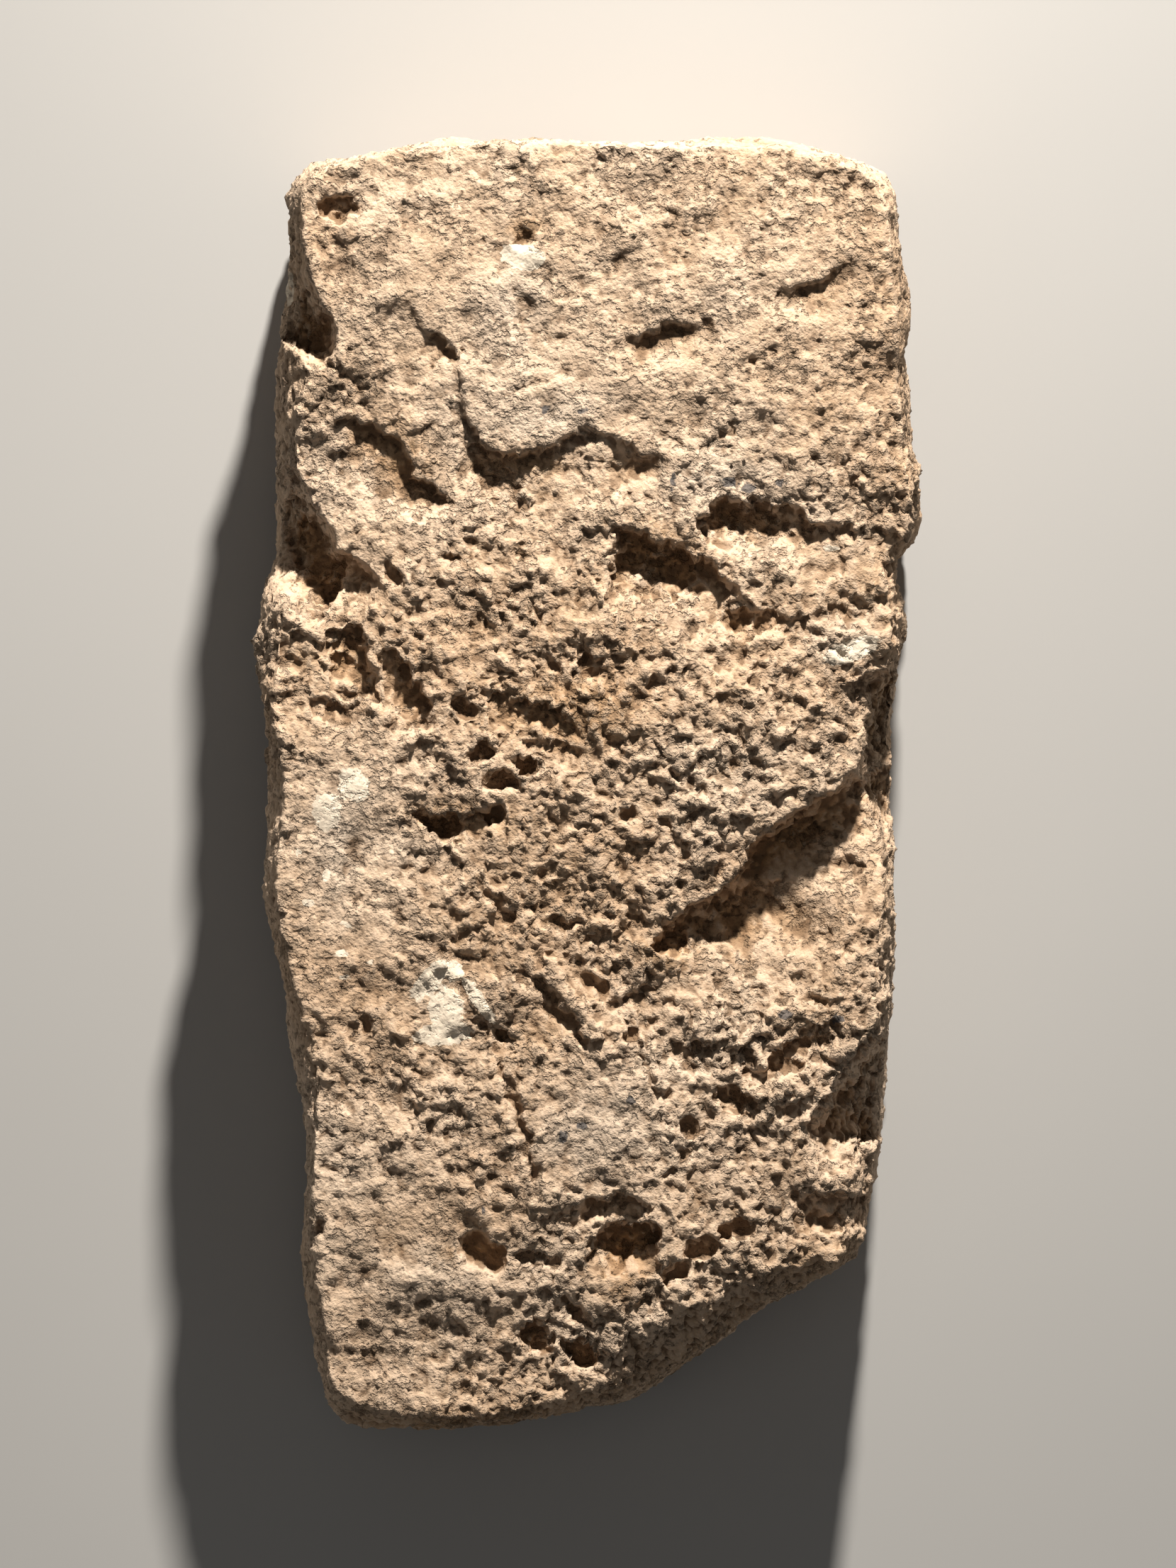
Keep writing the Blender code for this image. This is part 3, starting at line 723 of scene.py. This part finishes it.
def make_slab():
    """The slab before carving: its cross-sections joined up, closed and made an even fine mesh."""
    shape = bmesh.new()
    loops = [[shape.verts.new((x, y, level)) for x, y in outline] for level, outline in slab_sections()]
    for lower, upper in zip(loops[:-1], loops[1:]):
        for number, start in enumerate(lower):
            shape.faces.new((start, upper[number], upper[number - 1], lower[number - 1]))
    shape.faces.new(loops[0])
    shape.faces.new(loops[-1])
    bmesh.ops.recalc_face_normals(shape, faces=shape.faces)
    mesh = bpy.data.meshes.new("slab")
    shape.to_mesh(mesh)
    shape.free()
    slab = bpy.data.objects.new("slab", mesh)
    even = slab.modifiers.new("even", "REMESH")
    even.mode = "VOXEL"
    even.voxel_size = CELL
    return slab


def evaluated_copy(obj, name):
    """The object's mesh with its modifiers carried out, as a mesh of its own."""
    bpy.context.view_layer.update()
    mesh = bpy.data.meshes.new_from_object(obj.evaluated_get(bpy.context.evaluated_depsgraph_get()))
    mesh.name = name
    return mesh


def values_of(items, field, width):
    """A field of all of a mesh's vertices, edges or normals, as rows of numbers."""
    stored, wanted = (np.int32, int) if field == "vertices" else (np.float32, float)
    values = np.empty(len(items) * width, stored)
    items.foreach_get(field, values)
    return values.reshape(-1, width).astype(wanted)


def fit_to_size(points):
    """Stretches the carved points to the solid's own box."""
    low, high = points.min(0), points.max(0)
    return LOW + (points - low) * (HIGH - LOW) / (high - low)


def carve(mesh):
    """Moves the fine mesh's points: carves the front, roughens the sides, hollows the border of the back."""
    points = values_of(mesh.vertices, "co", 3)
    normals = values_of(mesh.vertex_normals, "vector", 3)
    level = points[:, 2] / THICKNESS
    moved = points.copy()

    on_front = smooth(CARVED_FROM, CARVED_TO, level)
    on_side = smooth(*SIDE_BEGINS, level) * (1 - smooth(*SIDE_ENDS, level))
    side_waves = waves(points, SIDE_ROUGH, SIDE_ROUGH_SIZE, 3, SIDE_SEED)
    moved += normals * (side_waves * on_side)[:, None]
    moved[:, 2] += front_height(points) * on_front
    mesh.vertices.foreach_set("co", moved.ravel())
    mesh.update()

    normals = values_of(mesh.vertex_normals, "vector", 3)
    skin = broken_surface(moved)
    side_crumb = (1 - on_front) * smooth(*SIDE_CRUMB_BEGINS, level) * SIDE_CRUMB
    skin *= on_front * brokenness(points[:, :2]) + side_crumb
    moved += normals * skin[:, None]
    moved[:, :2] += LEAN * (skin * on_front * np.maximum(normals[:, 2], 0))[:, None]

    to_edge = (np.array((WIDTH, HEIGHT)) / 2 - np.abs(points[:, :2])).min(1)
    border = 1 - smooth(BORDER_FADE * BEARING_MARGIN, BEARING_MARGIN, to_edge)
    hollow = np.abs(waves(points * (1, 1, 0), BACK_HOLLOW, BACK_HOLLOW_SIZE, 3, BACK_SEED))
    moved[:, 2] += hollow * border * (1 - smooth(*BACK_ENDS, level))
    moved[(level < FLAT_LEVEL) & (border <= 0), 2] = 0
    moved[:, 2] = np.maximum(moved[:, 2], 0)

    mesh.vertices.foreach_set("co", fit_to_size(moved).ravel())
    mesh.update()


def neighbour_sum(values, starts, ends):
    """For each point, the sum of a value over the points that it shares an edge with."""
    count = len(values)
    return np.bincount(starts, values[ends], count) + np.bincount(ends, values[starts], count)


def lowness(mesh, passes):
    """How far each point lies below the stone around it, in metres: above 0 in pits, below 0 on edges."""
    points = values_of(mesh.vertices, "co", 3)
    normals = values_of(mesh.vertex_normals, "vector", 3)
    starts, ends = values_of(mesh.edges, "vertices", 2).T
    count = neighbour_sum(np.ones(len(points)), starts, ends)
    around = points
    for _ in range(passes):
        total = [neighbour_sum(values, starts, ends) for values in around.T]
        around = (around + np.array(total).T / count[:, None]) / 2
    return ((around - points) * normals).sum(1)


def set_values(mesh, name, values):
    """Keeps a number for each point of the mesh, for its material."""
    attribute = mesh.attributes.new(name, "FLOAT", "POINT")
    attribute.data.foreach_set("value", values.astype(np.float32))


def mark(mesh):
    """Notes for each point how strongly it carries each mark."""
    points = values_of(mesh.vertices, "co", 3)
    normals = values_of(mesh.vertex_normals, "vector", 3)
    facing = smooth(-0.1, 0.1, normals[:, 2])
    for name, ovals in MARKS.items():
        strength = np.zeros(len(points))
        for sizes in ovals:
            strength = np.maximum(strength, 1 / (1 + oval(points[:, :2], *sizes) ** 2))
        set_values(mesh, name, strength * facing)
    for name, (passes, full_depth) in LOW_PLACES.items():
        set_values(mesh, name, lowness(mesh, passes) / full_depth)


def make_stone():
    """The fine stone mesh."""
    slab = make_slab()
    bpy.context.collection.objects.link(slab)
    carved = bpy.data.objects.new("carved", evaluated_copy(slab, "carved"))
    bpy.context.collection.objects.link(carved)
    carve(carved.data)
    carved.data.calc_loop_triangles()
    fewer = carved.modifiers.new("fewer", "DECIMATE")
    fewer.ratio = FACES / len(carved.data.loop_triangles)
    fewer.use_collapse_triangulate = True
    mesh = evaluated_copy(carved, "stone")
    bpy.data.objects.remove(slab)
    bpy.data.objects.remove(carved)
    points = np.clip(values_of(mesh.vertices, "co", 3), LOW, HIGH)
    mesh.vertices.foreach_set("co", points.ravel())
    mesh.update()
    mark(mesh)
    mesh.shade_smooth()
    stone = bpy.data.objects.new("stone", mesh)
    bpy.context.collection.objects.link(stone)
    return stone


def node(tree, kind, inputs=None, **settings):
    """Adds a node. Each input takes a number, a colour or another node's output."""
    made = tree.nodes.new(kind)
    for name, value in settings.items():
        setattr(made, name, value)
    for name, value in (inputs or {}).items():
        if isinstance(value, bpy.types.NodeSocket):
            tree.links.new(value, made.inputs[name])
        else:
            made.inputs[name].default_value = value
    return made


def noise_of(tree, place, size, detail, roughness=0.5):
    """Noise of about 0 to 1 with lumps of the given size in metres."""
    inputs = {"Vector": place, "Scale": 1 / size, "Detail": detail, "Roughness": roughness}
    return node(tree, "ShaderNodeTexNoise", inputs).outputs["Fac"]


def ramp(tree, value, low, high, to_low=0.0, to_high=1.0):
    """The value, carried from one range to another and kept inside it."""
    inputs = {"Value": value, "From Min": low, "From Max": high, "To Min": to_low, "To Max": to_high}
    return node(tree, "ShaderNodeMapRange", inputs).outputs["Result"]


def math(tree, operation, first, second):
    return node(tree, "ShaderNodeMath", {0: first, 1: second}, operation=operation).outputs[0]


def mix(tree, share, first, second, blend="MIX"):
    """One colour laid over another by a share of 0 to 1."""
    made = node(tree, "ShaderNodeMix", data_type="RGBA", blend_type=blend)
    for socket, value in ((made.inputs["Factor"], share), (made.inputs[6], first), (made.inputs[7], second)):
        if isinstance(value, bpy.types.NodeSocket):
            tree.links.new(value, socket)
        else:
            socket.default_value = value
    return made.outputs[2]


def mark_of(tree, name):
    return node(tree, "ShaderNodeAttribute", attribute_name=name).outputs["Fac"]


def times(tree, value, strength):
    return math(tree, "MULTIPLY", value, strength)


def plus(tree, first, second):
    return math(tree, "ADD", first, second)


def covered(tree, colour, share, strength, cover):
    """The colour with another laid over it, by a share that counts up to the given strength."""
    return mix(tree, times(tree, share, strength), colour, cover)


def shaded(tree, colour, light):
    """The colour made darker or lighter by a number."""
    grey = node(tree, "ShaderNodeCombineColor", {0: light, 1: light, 2: light}).outputs[0]
    return mix(tree, 1.0, colour, grey, "MULTIPLY")


def noise_around_0(tree, place, size, detail, strength):
    return times(tree, math(tree, "SUBTRACT", noise_of(tree, place, size, detail), 0.5), strength)


def mark_share(tree, place, name):
    """Where a mark lies, 0 to 1, with a ragged edge: its strength is shaken by noise."""
    size, ragged, comes_in, _ = MARK_LOOKS[name]
    shaken = plus(tree, mark_of(tree, name), noise_around_0(tree, place, size, 4, ragged))
    return ramp(tree, shaken, *comes_in)


def marked(tree, colour, share, name, cover):
    """The colour with a mark of another colour laid over it."""
    return covered(tree, colour, share, MARK_LOOKS[name][-1], cover)


def vector_math(tree, operation, inputs):
    return node(tree, "ShaderNodeVectorMath", inputs, operation=operation).outputs[0]


def shaken_place(tree, place):
    """The place, shifted by noise, so that cells laid out in it get ragged edges."""
    inputs = {"Vector": place, "Scale": 1 / SHAKE_SIZE, "Detail": 2}
    shift = node(tree, "ShaderNodeTexNoise", inputs).outputs["Color"]
    centred = vector_math(tree, "SUBTRACT", {0: shift, 1: (0.5, 0.5, 0.5)})
    scaled = vector_math(tree, "SCALE", {0: centred, "Scale": SHAKE_SIZE})
    return vector_math(tree, "ADD", {0: place, 1: scaled})


def stained_stone(tree, place):
    """The stone's colour: its brown patches, grey bloom and ochre, ochre and painted shade in deep hollows,
    painted shade in small pits, pale on edges.
    """
    broad = ramp(tree, noise_of(tree, place, BROAD_SIZE, 3), *COMES_IN["pale"])
    colour = mix(tree, broad, WARM, PALE)
    patches = ramp(tree, noise_of(tree, place, PATCH_SIZE, 4, 0.6), *COMES_IN["brown"])
    colour = covered(tree, colour, patches, PATCH_BROWN, BROWN)
    for name, cover in (("bloom", BLOOM), ("ochre", OCHRE)):
        colour = marked(tree, colour, mark_share(tree, place, name), name, cover)

    # deep hollows turn ochre: partly the stone's own colour, partly painted shade
    deep = ramp(tree, mark_of(tree, "large_pits"), *COMES_IN["deep"])
    colour = covered(tree, colour, deep, DEEP_OCHRE_AND_SHADE, OCHRE)
    # painted shade: small pits and creases are darkened
    small = ramp(tree, mark_of(tree, "small_pits"), *COMES_IN["pit_shade"])
    colour = covered(tree, colour, small, PIT_SHADE_STRENGTH, PIT_SHADE_COLOUR)
    edges = ramp(tree, mark_of(tree, "small_pits"), *COMES_IN["edge"], 1.0, 0.0)
    return covered(tree, colour, edges, EDGE_PALE, PALE)


def skin_and_crumb(tree, place):
    """Where the stone keeps a closed skin, 0 to 1, and the height of its crumb."""
    rough = noise_of(tree, place, CRUMB_SIZE, 4, 0.6)
    clusters = noise_around_0(tree, place, CLUSTER_SIZE, 2, CLUSTERS)
    skin = ramp(tree, plus(tree, rough, clusters), *COMES_IN["skin"])
    inputs = {"Vector": shaken_place(tree, place), "Scale": 1 / PEBBLE_SIZE}
    gaps = node(tree, "ShaderNodeTexVoronoi", inputs).outputs["Distance"]
    return skin, math(tree, "SUBTRACT", rough, times(tree, gaps, GAPS))


def grain_light_and_gap_shade(tree, place, skin):
    """How light each grain is, with painted shade where the skin is open and the bump sinks."""
    grains = node(tree, "ShaderNodeTexVoronoi", {"Vector": place, "Scale": 1 / GRAIN_SIZE})
    number = node(tree, "ShaderNodeSeparateColor", {0: grains.outputs["Color"]}).outputs[0]
    light = ramp(tree, number, 0, 1, *GRAIN_LIGHT)
    return times(tree, light, ramp(tree, skin, 0.0, 1.0, GAP_PAINTED_SHADE, 1.0))


def limestone():
    material = bpy.data.materials.new("limestone")
    material.use_nodes = True
    tree = material.node_tree
    shader = tree.nodes["Principled BSDF"]
    place = node(tree, "ShaderNodeTexCoord").outputs["Object"]

    skin, crumb = skin_and_crumb(tree, place)
    # grains vary in tone at random; painted shade darkens the open skin where the bump sinks
    colour = shaded(tree, stained_stone(tree, place), grain_light_and_gap_shade(tree, place, skin))
    crust = mark_share(tree, place, "crust")
    stains = ramp(tree, noise_of(tree, place, CRUST_STAIN_SIZE, 3), *COMES_IN["stain"])
    colour = marked(tree, colour, crust, "crust", mix(tree, stains, CRUST, BLOOM))
    colour = marked(tree, colour, mark_share(tree, place, "speck"), "speck", SPECK)
    tree.links.new(colour, shader.inputs["Base Color"])
    shader.inputs["Roughness"].default_value = STONE_ROUGHNESS
    shader.inputs["Specular IOR Level"].default_value = STONE_GLOSS

    flats = plus(tree, times(tree, crumb, CRUMB_HEIGHT), times(tree, skin, SKIN_HEIGHT))
    under_crust = times(tree, flats, ramp(tree, crust, 0.0, 1.0, 1.0, UNDER_CRUST))
    height = plus(tree, under_crust, times(tree, crust, CRUST_HEIGHT))
    bump = node(tree, "ShaderNodeBump", {"Height": height, "Strength": 1.0, "Distance": GRAIN_DEPTH})
    tree.links.new(bump.outputs["Normal"], shader.inputs["Normal"])
    return material


def floor_material():
    material = bpy.data.materials.new("floor")
    material.use_nodes = True
    tree = material.node_tree
    place = node(tree, "ShaderNodeTexCoord").outputs["Object"]
    shade = ramp(tree, noise_of(tree, place, FLOOR_SHADE_SIZE, 3), *FLOOR_SHADE_FROM, *FLOOR_SHADE)
    shader = tree.nodes["Principled BSDF"]
    tree.links.new(shaded(tree, FLOOR, shade), shader.inputs["Base Color"])
    shader.inputs["Roughness"].default_value = FLOOR_ROUGHNESS
    return material


def make_floor():
    bpy.ops.mesh.primitive_plane_add(size=FLOOR_SIZE, location=(0, 0, LOW[2] - FLOOR_GAP))
    floor = bpy.context.object
    floor.name = "floor"
    floor.data.materials.append(floor_material())


def add_light(name, place, aim, size, spread, energy, colour):
    data = bpy.data.lights.new(name, "AREA")
    data.shape = "DISK"
    data.size = size
    data.spread = np.radians(spread)
    data.energy = energy
    data.color = colour
    light = bpy.data.objects.new(name, data)
    light.location = place
    light.visible_camera = False
    light.rotation_euler = (Vector(aim) - Vector(place)).to_track_quat("-Z", "Y").to_euler()
    bpy.context.collection.objects.link(light)


def make_lights():
    for name, settings in LIGHTS.items():
        add_light(name, *settings)
    world = bpy.data.worlds.new("studio")
    world.use_nodes = True
    background = world.node_tree.nodes["Background"]
    background.inputs["Color"].default_value = WORLD_COLOUR
    background.inputs["Strength"].default_value = WORLD_LIGHT
    bpy.context.scene.world = world
    bpy.context.scene.view_settings.view_transform = "Standard"


def make_camera():
    """The camera looks straight down on the front, with the stone's top at the top of the picture."""
    data = bpy.data.cameras.new("camera")
    data.sensor_fit = "VERTICAL"
    data.sensor_height = SENSOR_HEIGHT
    seen = PICTURE_HEIGHT * square()[1]
    data.lens = SENSOR_HEIGHT * CAMERA_DISTANCE / seen
    camera = bpy.data.objects.new("camera", data)
    x, y = on_stone(PICTURE_MIDDLE)
    camera.location = (x, y, (THICKNESS + WIDEST_TO) / 2 + CAMERA_DISTANCE)
    bpy.context.collection.objects.link(camera)
    bpy.context.scene.camera = camera


stone = make_stone()
stone.data.materials.clear()
stone.data.materials.append(limestone())
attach(stone, "root")
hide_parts("stele")
make_floor()
make_lights()
make_camera()
